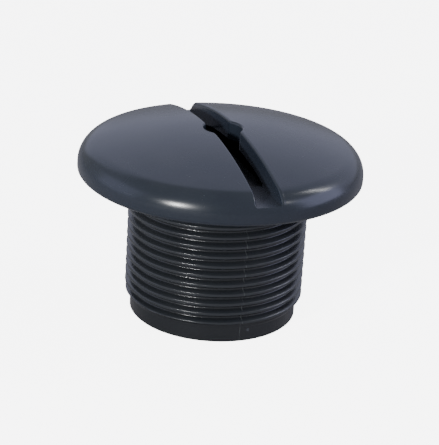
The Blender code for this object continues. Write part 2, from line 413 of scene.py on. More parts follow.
@dataclass(frozen=True)
class SharedEffects:
    """The surface effects that several finishes use, each as one node group."""

    grain: bpy.types.NodeTree
    scuffs: bpy.types.NodeTree
    dust: bpy.types.NodeTree
    edge_wear: bpy.types.NodeTree
    mould_marks_and_thread_shade: bpy.types.NodeTree

    @staticmethod
    def build() -> SharedEffects:
        """Build every shared effect once."""
        return SharedEffects(
            grain=SharedEffects.build_grain(),
            scuffs=SharedEffects.build_scuffs(),
            dust=SharedEffects.build_dust(),
            edge_wear=SharedEffects.build_edge_wear(),
            mould_marks_and_thread_shade=SharedEffects.build_mould_marks_and_thread_shade(),
        )

    @staticmethod
    def build_grain() -> bpy.types.NodeTree:
        """Build the fine skin of a moulded surface: a height and a slow mottle."""
        wiring, given, out = open_group(
            "moulded_grain",
            (("Vector", "NodeSocketVector", 0.0), ("Grain Scale", "NodeSocketFloat", 4200.0),
             ("Mottle Scale", "NodeSocketFloat", 45.0)),
            (("Height", "NodeSocketFloat"), ("Mottle", "NodeSocketFloat")))
        fine = wiring.noise(given["Vector"], given["Grain Scale"], detail=3.0, roughness=0.6)
        swell = wiring.noise(given["Vector"], given["Mottle Scale"], detail=2.0, roughness=0.5)
        wiring.feed(out.inputs["Height"], fine)
        wiring.feed(out.inputs["Mottle"], swell)
        return wiring.tree

    @staticmethod
    def build_scuffs() -> bpy.types.NodeTree:
        """Build fine short handling scratches in two directions, in a few places only."""
        wiring, given, out = open_group(
            "handling_scuffs",
            (("Vector", "NodeSocketVector", 0.0), ("Density", "NodeSocketFloat", 1.0)),
            (("Mask", "NodeSocketFloat"),))
        lines = []
        for turn, stretch in ((0.45, 22.0), (2.2, 30.0)):
            mapping = wiring.add("ShaderNodeMapping", vector_type="TEXTURE")
            wiring.feed(mapping.inputs["Vector"], given["Vector"])
            mapping.inputs["Rotation"].default_value = (0.0, 0.0, turn)
            mapping.inputs["Scale"].default_value = (stretch, 1.0, 1.0)
            streak = wiring.noise(mapping.outputs["Vector"], 2600.0, detail=1.0)
            lines.append(wiring.ramp(streak, 0.66, 0.80))
        crossed = wiring.math("MAXIMUM", lines[0], lines[1])
        patch = wiring.noise(given["Vector"], 110.0, detail=1.0)
        shown = wiring.product(crossed, wiring.ramp(patch, 0.50, 0.80))
        wiring.feed(out.inputs["Mask"], wiring.product(shown, given["Density"], clamp=True))
        return wiring.tree

    @staticmethod
    def build_dust() -> bpy.types.NodeTree:
        """Build a thin film with motes that settles on upward faces."""
        wiring, given, out = open_group(
            "settled_dust",
            (("Vector", "NodeSocketVector", 0.0), ("Normal", "NodeSocketVector", 0.0),
             ("Amount", "NodeSocketFloat", 0.2)),
            (("Mask", "NodeSocketFloat"),))
        parts = wiring.add("ShaderNodeSeparateXYZ")
        wiring.feed(parts.inputs[0], given["Normal"])
        upward = wiring.ramp(parts.outputs["Z"], 0.35, 0.98)
        cloud = wiring.noise(given["Vector"], 70.0, detail=3.0, roughness=0.55)
        specks = wiring.noise(given["Vector"], 2100.0, detail=1.0)
        film = wiring.product(wiring.ramp(cloud, 0.30, 0.80), 0.5)
        motes = wiring.ramp(specks, 0.74, 0.80)
        both = wiring.product(wiring.math("ADD", film, motes), upward)
        wiring.feed(out.inputs["Mask"], wiring.product(both, given["Amount"], clamp=True))
        return wiring.tree

    @staticmethod
    def build_edge_wear() -> bpy.types.NodeTree:
        """Build the paler, smoother line that handling leaves on raised edges."""
        wiring, given, out = open_group(
            "edge_wear",
            (("Vector", "NodeSocketVector", 0.0), ("Pointiness", "NodeSocketFloat", 0.5),
             ("Amount", "NodeSocketFloat", 0.5)),
            (("Mask", "NodeSocketFloat"),))
        raised = wiring.ramp(given["Pointiness"], 0.53, 0.62)
        broken = wiring.noise(given["Vector"], 420.0, detail=3.0, roughness=0.6)
        patchy = wiring.ramp(broken, 0.25, 0.70)
        worn = wiring.product(raised, patchy)
        wiring.feed(out.inputs["Mask"], wiring.product(worn, given["Amount"], clamp=True))
        return wiring.tree

    @staticmethod
    def build_mould_marks_and_thread_shade() -> bpy.types.NodeTree:
        """Build the parting lines, a gate and a fine comb, and a root-to-crest mask for the thread's painted
        shade.
        """
        wiring, given, out = open_group(
            "mould_marks_and_thread_shade",
            (("Vector", "NodeSocketVector", 0.0), ("Root Radius", "NodeSocketFloat", 0.0235),
             ("Crest Radius", "NodeSocketFloat", 0.02505), ("Line Width", "NodeSocketFloat", 0.00016)),
            (("Parting", "NodeSocketFloat"), ("Crest", "NodeSocketFloat"), ("Gate", "NodeSocketFloat"),
             ("Striation", "NodeSocketFloat")))
        parts = wiring.add("ShaderNodeSeparateXYZ")
        wiring.feed(parts.inputs[0], given["Vector"])
        across, along = parts.outputs["X"], parts.outputs["Y"]
        flat = wiring.add("ShaderNodeCombineXYZ")
        wiring.feed(flat.inputs["X"], across)
        wiring.feed(flat.inputs["Y"], along)
        length = wiring.add("ShaderNodeVectorMath", operation="LENGTH")
        wiring.feed(length.inputs[0], flat.outputs[0])
        radius = length.outputs["Value"]
        # Mask from the thread's root (0) to its crest (1); the finish uses it to paint shade at the root and
        # light on the crest.
        crest = wiring.ramp(radius, given["Root Radius"], given["Crest Radius"])
        drift = wiring.math("SUBTRACT", wiring.noise(given["Vector"], 300.0), 0.5)
        wander = wiring.product(drift, PARTING_WANDER)
        offset = wiring.math("ABSOLUTE", wiring.math("ADD", across, wander))
        near = wiring.math("SUBTRACT", 1.0, wiring.math("DIVIDE", offset, given["Line Width"]), clamp=True)
        broken = wiring.ramp(wiring.noise(given["Vector"], 700.0, detail=3.0), 0.35, 0.62)
        inset = wiring.math("SUBTRACT", given["Root Radius"], PARTING_INSET)
        outer = wiring.math("GREATER_THAN", radius, inset)
        line = wiring.product(wiring.product(near, broken), outer)
        centre = wiring.add("ShaderNodeVectorMath", operation="DISTANCE")
        wiring.feed(centre.inputs[0], given["Vector"])
        centre.inputs[1].default_value = GATE_PLACE
        ragged = wiring.product(wiring.noise(given["Vector"], 2500.0), GATE_RAGGED)
        distance = wiring.math("ADD", centre.outputs["Value"], ragged)
        upright = wiring.add("ShaderNodeMapping")
        wiring.feed(upright.inputs["Vector"], given["Vector"])
        upright.inputs["Scale"].default_value = COMB_STRETCH
        wiring.feed(out.inputs["Parting"], line)
        wiring.feed(out.inputs["Crest"], crest)
        wiring.feed(out.inputs["Gate"], wiring.ramp(distance, GATE_OUTER, GATE_INNER))
        wiring.feed(out.inputs["Striation"], wiring.noise(upright.outputs["Vector"], COMB_SCALE))
        return wiring.tree


# --------------------------------------------------------------------------------------
# Finishes
# --------------------------------------------------------------------------------------

# How strongly each effect shows.  Heights are in units of a finish's grain depth.
MOTTLE_LOW = 0.3
MOTTLE_HIGH = 0.7
SCUFF_PALE = 0.25
SCUFF_DEPTH = 0.6
SCUFF_DULL = 0.15
DUST_DULL = 0.3
# Painted shade in the thread's roots and painted light on its crests, as factors on the colour.
PAINTED_ROOT_SHADE = (0.70, 0.70, 0.70, 1.0)
PAINTED_CREST_LIGHT = (1.20, 1.20, 1.20, 1.0)
PARTING_COLOUR: Colour = (0.11, 0.12, 0.12)
PARTING_SHOWN = 0.5
PARTING_HEIGHT = 8.0
GATE_SHOWN = 0.5
GATE_SUNK = 6.0
COMB_DEPTH = 18.0


@dataclass(frozen=True)
class Finish:
    """One surface finish: its colours, its gloss and how strong each effect is."""

    name: str
    slot: str
    feel: Feel
    base: Colour
    tint: Colour
    roughness: float
    roughness_swing: float = 0.04
    grain_scale: float = 4200.0
    grain_depth: float = 0.000003
    scuff: float = 0.35
    dust: float = 0.05
    wear: float = 0.25
    wear_colour: Colour = (0.085, 0.095, 0.115)
    dust_colour: Colour = (0.28, 0.28, 0.28)
    specular: float = 0.5
    metallic: float = 0.0

    def material(self, effects: SharedEffects) -> bpy.types.Material:
        """Build the finish as a node material.

        Args:
            effects: The shared effect groups.

        Returns:
            The new material.
        """
        material = bpy.data.materials.new(self.name)
        material.use_nodes = True
        wiring = Wiring(material.node_tree)
        shader = material.node_tree.nodes["Principled BSDF"]
        place = wiring.add("ShaderNodeTexCoord")
        where = place.outputs["Object"]
        geometry = wiring.add("ShaderNodeNewGeometry")
        grain = wiring.group(effects.grain, where, {"Grain Scale": self.grain_scale})
        scuffs = wiring.group(effects.scuffs, where, {"Density": self.scuff})
        dust = wiring.group(effects.dust, where, {"Normal": place.outputs["Normal"], "Amount": self.dust})
        wear = wiring.group(effects.edge_wear, where,
                            {"Pointiness": geometry.outputs["Pointiness"], "Amount": self.wear})
        scratched, dusty, worn = scuffs.outputs["Mask"], dust.outputs["Mask"], wear.outputs["Mask"]
        mottle = wiring.ramp(grain.outputs["Mottle"], MOTTLE_LOW, MOTTLE_HIGH)

        colour = wiring.blend(mottle, (*self.base, 1.0), (*self.tint, 1.0))
        colour = wiring.blend(worn, colour, (*self.wear_colour, 1.0))
        colour = wiring.blend(wiring.product(scratched, SCUFF_PALE), colour, (*self.wear_colour, 1.0))
        height = wiring.math("SUBTRACT", grain.outputs["Height"], wiring.product(scratched, SCUFF_DEPTH))
        # The threaded finish gets mould marks and painted shade and light in its thread.
        if self.feel is Feel.THREADED:
            marks = wiring.group(effects.mould_marks_and_thread_shade, where, {})
            colour, height = self.mark_and_shade(wiring, marks, colour, height)
        colour = wiring.blend(dusty, colour, (*self.dust_colour, 1.0))
        wiring.feed(shader.inputs["Base Color"], colour)

        slow = wiring.ramp(grain.outputs["Mottle"], MOTTLE_LOW, MOTTLE_HIGH,
                           self.roughness - self.roughness_swing,
                           self.roughness + self.roughness_swing, kind="LINEAR")
        rubbed = wiring.math("ADD", slow, wiring.product(scratched, SCUFF_DULL))
        dulled = wiring.math("ADD", rubbed, wiring.product(dusty, DUST_DULL), clamp=True)
        wiring.feed(shader.inputs["Roughness"], dulled)

        bump = wiring.add("ShaderNodeBump")
        bump.inputs["Strength"].default_value = 1.0
        bump.inputs["Distance"].default_value = self.grain_depth
        wiring.feed(bump.inputs["Height"], height)
        wiring.feed(shader.inputs["Normal"], bump.outputs["Normal"])
        shader.inputs["Metallic"].default_value = self.metallic
        shader.inputs["Specular IOR Level"].default_value = self.specular
        return material

    def mark_and_shade(self, wiring: Wiring, marks: bpy.types.Node, colour: bpy.types.NodeSocket,
             height: bpy.types.NodeSocket) -> tuple[bpy.types.NodeSocket, bpy.types.NodeSocket]:
        """Paint shade into the thread's roots and light on to its crests, and lay the split mould's marks
        over the colour and the height.

        Args:
            wiring: The material's wiring.
            marks: The node of the group with the mould marks and the painted shade's mask.
            colour: The colour so far.
            height: The height so far.

        Returns:
            The new colour and height.
        """
        parting, crest, gate, striation = (marks.outputs[name]
                                           for name in ("Parting", "Crest", "Gate", "Striation"))
        # Painted shade and light: the colour darkens towards the thread's roots and lightens on its crests.
        depth = wiring.blend(crest, PAINTED_ROOT_SHADE, PAINTED_CREST_LIGHT)
        colour = wiring.blend(1.0, colour, depth, mode="MULTIPLY")
        colour = wiring.blend(wiring.product(parting, PARTING_SHOWN), colour, (*PARTING_COLOUR, 1.0))
        colour = wiring.blend(wiring.product(gate, GATE_SHOWN), colour, (*self.wear_colour, 1.0))
        raised = wiring.math("ADD", height, wiring.product(parting, PARTING_HEIGHT))
        combed = wiring.math("ADD", raised, wiring.product(striation, COMB_DEPTH))
        return colour, wiring.math("SUBTRACT", combed, wiring.product(gate, GATE_SUNK))


CAP_FINISH = Finish(
    name="cap_moulded_plastic", slot="cap_plastic", feel=Feel.MOULDED,
    base=(0.017, 0.023, 0.034), tint=(0.021, 0.027, 0.039), roughness=0.25)
SLEEVE_FINISH = Finish(
    name="sleeve_moulded_plastic", slot="sleeve_plastic", feel=Feel.THREADED,
    base=(0.017, 0.020, 0.024), tint=(0.021, 0.024, 0.028), roughness=0.21,
    grain_scale=3600.0, grain_depth=0.000003, dust=0.04, scuff=0.3, specular=0.62)
STEEL_FINISH = Finish(
    name="spring_steel_wire", slot="spring_steel", feel=Feel.PLAIN,
    base=(0.42, 0.42, 0.43), tint=(0.50, 0.49, 0.48), roughness=0.32, metallic=1.0,
    grain_scale=2600.0, dust=0.05, wear=0.2, wear_colour=(0.7, 0.7, 0.7))
RING_FINISH = Finish(
    name="drag_ring_rubber", slot="ring_rubber", feel=Feel.PLAIN,
    base=(0.016, 0.016, 0.017), tint=(0.022, 0.022, 0.022), roughness=0.55,
    grain_scale=3200.0, dust=0.1, wear=0.15, specular=0.35)
SEAL_FINISH = Finish(
    name="flange_seal_rubber", slot="seal_rubber", feel=Feel.PLAIN,
    base=(0.011, 0.011, 0.012), tint=(0.016, 0.016, 0.016), roughness=0.72,
    grain_scale=2200.0, grain_depth=0.00001, dust=0.1, wear=0.2, specular=0.3)


def dress(piece: bpy.types.Object, finish: Finish, effects: SharedEffects, body: Body, *nodes: str) -> None:
    """Give a finished piece its material and its body, and hide the CAD nodes that it stands for.

    Args:
        piece: The finished piece, at the origin.
        finish: Its finish.
        effects: The shared effect groups.
        body: The body that it rides on.
        *nodes: The CAD nodes that it replaces.
    """
    shade(piece)
    piece.data.materials.clear()
    piece.data.materials.append(finish.material(effects))
    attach(piece, body.value)
    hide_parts(*nodes)
    LOG.info("%s: %d faces, rides on %s", piece.name, len(piece.data.polygons), body.value)


# --------------------------------------------------------------------------------------
# The cap
# --------------------------------------------------------------------------------------

@dataclass
class DomedCap:
    """The domed head with its slot, its centre hole and the hollow underneath."""

    radius: float
    underside: float
    dome_rise: float = 11.2 * MM
    rim_round: float = 6.6 * MM
    rim_band: float = 1.2 * MM
    undercut: Point2 = (7.2 * MM, 2.55 * MM)
    slot_width: float = 6.8 * MM
    slot_rise: float = 2.7 * MM
    lip_round: float = 0.8 * MM
    lip_run_out: float = 0.9 * MM
    hole_radius: float = 5.2 * MM
    hole_blend: float = 0.5 * MM
    counterbore: float = 24.0 * MM
    cavity_rise: float = 6.0 * MM
    cavity_edge: float = 3.3 * MM
    groove: tuple[float, float, float] = (25.0 * MM, 41.9 * MM, 43.4 * MM)
    recess: Point2 = (30.4 * MM, 41.3 * MM)
    drag_groove: tuple[float, float, float] = (26.35 * MM, 28.25 * MM, 42.7 * MM)
    lip_rows: int = 9
    dome_rows: int = 44
    wall_rows: int = 5
    floor_rows: int = 4
    rim_steps: int = 12
    band_steps: int = 5
    undercut_steps: int = 10
    ceiling_steps: int = 18
    fine_reach: float = 8.0 * MM
    fine_steps: int = 30
    coarse_steps: int = 26
    cut_past: float = 5.0 * MM
    lathe_segments: int = 240
    far_angle: float = 38.0
    spread: float = 10.0 * MM

    def __post_init__(self) -> None:
        """Work out the dome's sphere and the rim's rings."""
        self.widest = self.underside + self.rim_band + self.undercut[1]
        self.floor = self.widest + self.slot_rise
        self.rim_centre = self.radius - self.rim_round
        rise = self.dome_rise - self.rim_round
        self.drop = (self.rim_centre ** 2 - rise ** 2) / (2.0 * rise)
        self.sphere = self.dome_rise + self.drop
        tangent = math.atan2(self.drop, self.rim_centre)
        self.dome_edge = self.sphere * math.cos(tangent)
        self.rings = self.rim_rings(math.degrees(tangent))

    def rim_rings(self, tangent: float) -> list[tuple[float, float, float, float]]:
        """Return the rim's rings from the dome's edge to the underside.

        Args:
            tangent: The angle in degrees at which the dome meets the rim's round.

        Returns:
            Radius, height and the outward normal's two parts for each ring.
        """
        floor_angle = math.degrees(math.asin(self.slot_rise / self.rim_round))
        centre = (self.rim_centre, self.widest)
        round_radii = (self.rim_round, self.rim_round)
        upper = arc(centre, round_radii, tangent, floor_angle, self.rim_steps)
        upper += arc(centre, round_radii, floor_angle, 0.0, self.band_steps)[1:]
        lower_centre = (self.radius - self.undercut[0], self.widest - self.rim_band)
        lower = arc(lower_centre, self.undercut, 0.0, -90.0, self.undercut_steps)
        rings = []
        for radius, height in upper:
            rings.append((radius, height, (radius - centre[0]) / self.rim_round,
                          (height - centre[1]) / self.rim_round))
        for radius, height in lower:
            rings.append((radius, height, 1.0, 0.0))
        return rings

    def edge_x(self, y: float) -> float:
        """Return how far the slot's wall stands from the middle at a place along the slot."""
        half = 0.5 * self.slot_width
        bulge = math.sqrt(max(self.hole_radius ** 2 - y * y, 0.0)) - half
        return half + 0.5 * (bulge + math.sqrt(bulge * bulge + self.hole_blend ** 2))

    def dome_height(self, x: float, y: float) -> float:
        """Return the dome's height over a place in plan."""
        return self.widest - self.drop + math.sqrt(self.sphere ** 2 - x * x - y * y)

    def lip_point(self, base: Vector, slope: Point2, turn: float) -> Vector:
        """Return a point on the rounded lip.

        Args:
            base: The unrounded surface point at the lip's wall.
            slope: The surface normal's parts along the slot and upwards.
            turn: The angle round the lip, nought on the wall and a right angle on the dome.

        Returns:
            The point, moved out from the wall and in from the surface.
        """
        reach = self.lip_round * smoothstep((base.z - self.floor) / self.lip_run_out)
        normal = Vector((0.0, slope[0], slope[1])).normalized()
        sunk = reach * (1.0 - math.sin(turn))
        return base + Vector((reach * (1.0 - math.cos(turn)), 0.0, 0.0)) - normal * sunk

    def stations(self) -> list[float]:
        """Return places along the slot from its middle to the dome's edge, close together at the hole."""
        inner = self.dome_edge_y(0.5 * self.slot_width + self.lip_round)
        reach = self.fine_reach
        half = [reach * step / self.fine_steps for step in range(self.fine_steps)]
        half += [reach + (inner - reach) * step / self.coarse_steps for step in range(self.coarse_steps + 1)]
        return [-value for value in reversed(half[1:])] + half

    def dome_edge_y(self, x: float) -> float:
        """Return how far along the slot the dome's edge is at a distance from the middle."""
        return math.sqrt(max(self.dome_edge ** 2 - x * x, 0.0))

    def lip_line(self, turn: float, stations: Sequence[float]) -> list[Vector]:
        """Return one line along the lip over the dome."""
        line = []
        for y in stations:
            x = self.edge_x(y)
            base = Vector((x, y, self.dome_height(x, y)))
            line.append(self.lip_point(base, (y, base.z - self.widest + self.drop), turn))
        return line

    def dome_point(self, plan: Vector) -> Vector:
        """Lift a place in plan on to the dome."""
        return Vector((plan.x, plan.y, self.dome_height(plan.x, plan.y)))

    def dome_grid(self, stations: Sequence[float]) -> list[list[Vector]]:
        """Return lines over the dome from the lip to the far arc, as a smooth patch.

        Args:
            stations: The places along the slot.

        Returns:
            One line of points for each row, the first along the lip.
        """
        near = [Vector((point.x, point.y)) for point in self.lip_line(0.5 * math.pi, stations)]
        end = stations[-1]
        start_angle = math.atan2(near[-1].y, near[-1].x)
        far_angle = math.radians(self.far_angle)
        edge = self.dome_edge
        rows = []
        for row in range(self.dome_rows + 1):
            share = row / self.dome_rows
            side_angle = start_angle + (far_angle - start_angle) * share
            side = Vector((edge * math.cos(side_angle), edge * math.sin(side_angle)))
            line = []
            for index, y in enumerate(stations):
                along = 0.5 * (y / end + 1.0)
                turn = far_angle * y / end
                far = Vector((edge * math.cos(turn), edge * math.sin(turn)))
                low_side = Vector((side.x, -side.y))
                straight = near[index] * (1.0 - share) + far * share
                across = low_side * (1.0 - along) + side * along
                corner_high = near[-1] * (1.0 - share)
                corner_high += Vector((edge * math.cos(far_angle), edge * math.sin(far_angle))) * share
                corner_low = Vector((corner_high.x, -corner_high.y))
                corners = corner_low * (1.0 - along) + corner_high * along
                line.append(self.dome_point(straight + across - corners))
            rows.append(line)
        return rows

    def rim_line(self, ring: tuple[float, float, float, float], edge_line: Sequence[Vector],
                 side: float) -> list[Vector]:
        """Return one ring's points below the dome's edge, from the floor's middle to the far arc.

        Args:
            ring: The ring's radius, height and normal.
            edge_line: The points on the dome's edge that the ring carries on from.
            side: Which end of the slot, as -1 or 1.

        Returns:
            The ring's points in the same order.
        """
        radius, height, _, _ = ring
        first = edge_line[0].x
        line = []
        for point in edge_line:
            share = smoothstep((point.x - first) / self.spread)
            x = point.x * (1.0 + share * (radius / self.dome_edge - 1.0))
            line.append(Vector((x, side * math.sqrt(max(radius * radius - x * x, 0.0)), height)))
        return line

    def half_skin(self) -> bmesh.types.BMesh:
        """Build the outside of the half with x above nought, open at the middle and underneath."""
        builder = bmesh.new()
        stations = self.stations()
        turns = [0.5 * math.pi * row / self.lip_rows for row in range(self.lip_rows)]
        lip = [self.lip_line(turn, stations) for turn in turns]
        dome = self.dome_grid(stations)
        lines = self.slot_columns(lip[0]) + lip + dome
        grid = [[builder.verts.new(point) for point in line] for line in lines]
        for line, following in zip(grid, grid[1:]):
            strip(builder, line, following)
        for side, column in ((-1.0, 0), (1.0, len(stations) - 1)):
            self.add_rim_end(builder, grid, dome, column, side, turns)
        self.add_rim_far(builder, grid[-1], dome[-1])
        return builder

    def slot_columns(self, lip: Sequence[Vector]) -> list[list[Vector]]:
        """Return the lines of the slot's floor and wall, from the slot's middle to below the lip."""
        lines = []
        for step in range(self.floor_rows):
            share = step / self.floor_rows
            lines.append([Vector((point.x * share, point.y, self.floor)) for point in lip])
        for step in range(self.wall_rows):
            share = step / self.wall_rows
            lines.append([Vector((point.x, point.y, self.floor + (point.z - self.floor) * share))
                          for point in lip])
        return lines

    def add_rim_end(self, builder: bmesh.types.BMesh, grid: Sequence[Sequence],
                    dome: Sequence[Sequence[Vector]], column: int, side: float,
                    turns: Sequence[float]) -> None:
        """Carry the slot, the lip and the dome's side edge down over the rim at one end.

        Args:
            builder: The mesh builder.
            grid: The vertices already made over the slot and the dome.
            dome: The dome's points.
            column: The column of the grid at this end.
            side: Which end of the slot, as -1 or 1.
            turns: The angles round the lip.
        """
        edge_line = [line[column] for line in dome]
        last = [line[column] for line in grid]
        for ring in self.rings[1:]:
            points = self.rim_slot(ring, side, turns) + self.rim_line(ring, edge_line, side)
            following = [builder.verts.new(point) for point in points]
            for index in range(len(following) - 1):
                add_face(builder, (last[index], last[index + 1], following[index + 1], following[index]))
            last = following

    def rim_slot(self, ring: tuple[float, float, float, float], side: float,
                 turns: Sequence[float]) -> list[Vector]:
        """Return a ring's points across the slot's floor, up its wall and round its lip."""
        radius, height, out, up = ring
        half = self.edge_x(radius)
        base = Vector((half, side * math.sqrt(radius * radius - half * half), height))
        lip = [self.lip_point(base, (side * out, up), turn) for turn in turns]
        foot = lip[0]
        level = min(self.floor, height)
        points = []
        for step in range(self.floor_rows):
            x = half * step / self.floor_rows
            y = foot.y
            if height <= self.floor + WELD:
                y = side * math.sqrt(radius * radius - x * x)
            points.append(Vector((x, y, level)))
        for step in range(self.wall_rows):
            share = step / self.wall_rows
            points.append(Vector((half, foot.y, level + max(foot.z - level, 0.0) * share)))
        return points + lip

    def add_rim_far(self, builder: bmesh.types.BMesh, edge: Sequence, points: Sequence[Vector]) -> None:
        """Carry the dome's far arc down over the rim."""
        last = list(edge)
        for radius, height, _, _ in self.rings[1:]:
            scale = radius / self.dome_edge
            following = [builder.verts.new((point.x * scale, point.y * scale, height)) for point in points]
            strip(builder, last, following)
            last = following

    def skin(self) -> bmesh.types.BMesh:
        """Build the whole outside, closed underneath by one flat face."""
        builder = self.half_skin()
        copy = bmesh.ops.duplicate(builder, geom=builder.verts[:] + builder.edges[:] + builder.faces[:])
        twins = [item for item in copy["geom"] if isinstance(item, bmesh.types.BMVert)]
        for vertex in twins:
            vertex.co.x = -vertex.co.x
        bmesh.ops.remove_doubles(builder, verts=builder.verts, dist=SEAM_WELD)
        bmesh.ops.dissolve_degenerate(builder, edges=builder.edges, dist=SLIVER)
        rim = [edge for edge in builder.edges if edge.is_boundary]
        bmesh.ops.holes_fill(builder, edges=rim, sides=0)
        return builder

    def hollow(self) -> bmesh.types.BMesh:
        """Build the cutter for the recess, the grooves, the counterbore and the arched cavity."""
        groove_radius, groove_low, groove_high = self.groove
        recess_radius, ceiling = self.recess
        inner, outer, drag_high = self.drag_groove
        edge = self.widest + self.cavity_edge
        height = self.widest + self.cavity_rise - edge
        sphere = (self.counterbore ** 2 + height ** 2) / (2.0 * height)
        start = math.degrees(math.acos(self.counterbore / sphere))
        below = self.underside - self.cut_past
        corners = [
            (recess_radius, below), (recess_radius, ceiling), (outer, ceiling), (outer, drag_high),
            (inner, drag_high), (inner, ceiling), (self.counterbore, ceiling),
            (self.counterbore, groove_low), (groove_radius, groove_low), (groove_radius, groove_high),
            (self.counterbore, groove_high), (self.counterbore, edge),
        ]
        dome = arc((0.0, edge + height - sphere), (sphere, sphere), start, 90.0, self.ceiling_steps)
        dome[-1] = (0.0, edge + height)
        profile = [(0.0, below)] + corners + dome[1:]
        return lathe(profile, self.lathe_segments)

    def build(self, effects: SharedEffects) -> None:
        """Build and dress the cap."""
        cap = link("cap_shell", self.skin())
        carve(cap, link("cap_hollow_cutter", self.hollow()))
        dress(cap, CAP_FINISH, effects, Body.CAP, "slotted_cap")


# --------------------------------------------------------------------------------------
# The sleeve
# --------------------------------------------------------------------------------------

@dataclass
class ThreadForm:
    """The rule that the barrel's right-hand thread follows, made by Geometry Nodes."""

    crest_radius: float = 25.05 * MM
    depth: float = 1.55 * MM
    pitch: float = 2.78 * MM
    bottom: float = 4.6 * MM
    top: float = 36.6 * MM
    run_out: float = 1.6 * MM
    crest_height: float = 31.34 * MM
    crest_angle: float = math.radians(249.8)
    crest_share: float = 0.24
    root_share: float = 0.80
    rounding: float = 0.08
    softness: float = 0.8
    columns: int = 200
    rows_per_turn: int = 26

    @property
    def root_radius(self) -> float:
        """The radius at the bottom of the thread."""
        return self.crest_radius - self.depth

    @property
    def turns(self) -> int:
        """The number of turns that cover the barrel with one to spare at each end."""
        return math.ceil((self.top - self.bottom) / self.pitch) + 3

    @property
    def start(self) -> float:
        """The height at angle nought of a crest that is a turn or more below the thread."""
        crest = self.crest_height - self.pitch * self.crest_angle / TURN
        return crest - self.pitch * (math.floor((crest - self.bottom) / self.pitch) + 2)

    def tree(self) -> bpy.types.NodeTree:
        """Build the Geometry Nodes tree with a named input for each size.

        Returns:
            The finished tree.
        """
        tree = bpy.data.node_groups.new("helical_thread", "GeometryNodeTree")
        for name in ("Root Radius", "Depth", "Pitch", "Bottom", "Top", "Run Out", "Start",
                     "Crest Share", "Root Share", "Rounding", "Turns"):
            tree.interface.new_socket(name, in_out="INPUT", socket_type="NodeSocketFloat")
        for name in ("Columns", "Rows"):
            tree.interface.new_socket(name, in_out="INPUT", socket_type="NodeSocketInt")
        tree.interface.new_socket("Finish", in_out="INPUT", socket_type="NodeSocketMaterial")
        tree.interface.new_socket("Thread", in_out="OUTPUT", socket_type="NodeSocketGeometry")
        wiring = Wiring(tree)
        given = wiring.add("NodeGroupInput").outputs
        grid = wiring.put("GeometryNodeMeshGrid", {
            "Size X": 1.0, "Size Y": given["Turns"],
            "Vertices X": given["Columns"], "Vertices Y": given["Rows"]})
        parts = wiring.add("ShaderNodeSeparateXYZ")
        wiring.feed(parts.inputs[0], wiring.add("GeometryNodeInputPosition").outputs[0])
        around = wiring.math("ADD", parts.outputs["X"], 0.5)
        along = wiring.math("ADD", parts.outputs["Y"], wiring.product(given["Turns"], 0.5))
        climb = wiring.product(given["Pitch"], wiring.math("ADD", around, along))
        height = wiring.math("ADD", given["Start"], climb)
        held = wiring.math("MINIMUM", wiring.math("MAXIMUM", height, given["Bottom"]), given["Top"])
        wave = wiring.product(wiring.math("PINGPONG", along, 0.5), 2.0)
        straight = wiring.ramp(wave, given["Crest Share"], given["Root Share"], 1.0, 0.0, kind="LINEAR")
        round_from = wiring.math("SUBTRACT", given["Crest Share"], given["Rounding"])
        round_to = wiring.math("ADD", given["Root Share"], given["Rounding"])
        rounded = wiring.ramp(wave, round_from, round_to, 1.0, 0.0)
        softening = wiring.product(wiring.math("SUBTRACT", rounded, straight), self.softness)
        flank = wiring.math("ADD", straight, softening)
        margin = wiring.math("MINIMUM", wiring.math("SUBTRACT", held, given["Bottom"]),
                             wiring.math("SUBTRACT", given["Top"], held))
        fade = wiring.math("DIVIDE", margin, given["Run Out"], clamp=True)
        rise = wiring.product(wiring.product(flank, fade), given["Depth"])
        radius = wiring.math("ADD", given["Root Radius"], rise)
        angle = wiring.product(around, TURN)
        place = wiring.put("ShaderNodeCombineXYZ", {
            "X": wiring.product(radius, wiring.math("COSINE", angle)),
            "Y": wiring.product(radius, wiring.math("SINE", angle)), "Z": held})
        thread = wiring.put("GeometryNodeSetPosition", {
            "Geometry": grid.outputs["Mesh"], "Position": place.outputs[0]})
        for kind, more in (("GeometryNodeMergeByDistance", {"Distance": WELD}),
                           ("GeometryNodeRealizeInstances", {}),
                           ("GeometryNodeSetMaterial", {"Material": given["Finish"]})):
            thread = wiring.put(kind, {"Geometry": thread.outputs["Geometry"], **more})
        wiring.put("NodeGroupOutput", {"Thread": thread.outputs["Geometry"]})
        return tree

    def mesh(self, material: bpy.types.Material) -> bpy.types.Mesh:
        """Run the tree and return the thread as a plain mesh.

        Args:
            material: The material that the tree sets.

        Returns:
            The thread's surface, open at both ends.
        """
        tree = self.tree()
        holder = bpy.data.objects.new("thread_rule", bpy.data.meshes.new("thread_rule"))
        bpy.context.scene.collection.objects.link(holder)
        modifier = holder.modifiers.new("thread", "NODES")
        modifier.node_group = tree
        values = {
            "Root Radius": self.root_radius, "Depth": self.depth, "Pitch": self.pitch,
            "Bottom": self.bottom, "Top": self.top, "Run Out": self.run_out, "Start": self.start,
            "Crest Share": self.crest_share, "Root Share": self.root_share,
            "Rounding": self.rounding, "Turns": float(self.turns),
            "Columns": self.columns + 1, "Rows": self.turns * self.rows_per_turn + 1, "Finish": material,
        }
        for item in tree.interface.items_tree:
            if item.name in values:
                modifier[item.identifier] = values[item.name]
        settle(holder)
        mesh = holder.data
        bpy.data.objects.remove(holder, do_unlink=True)
        return mesh


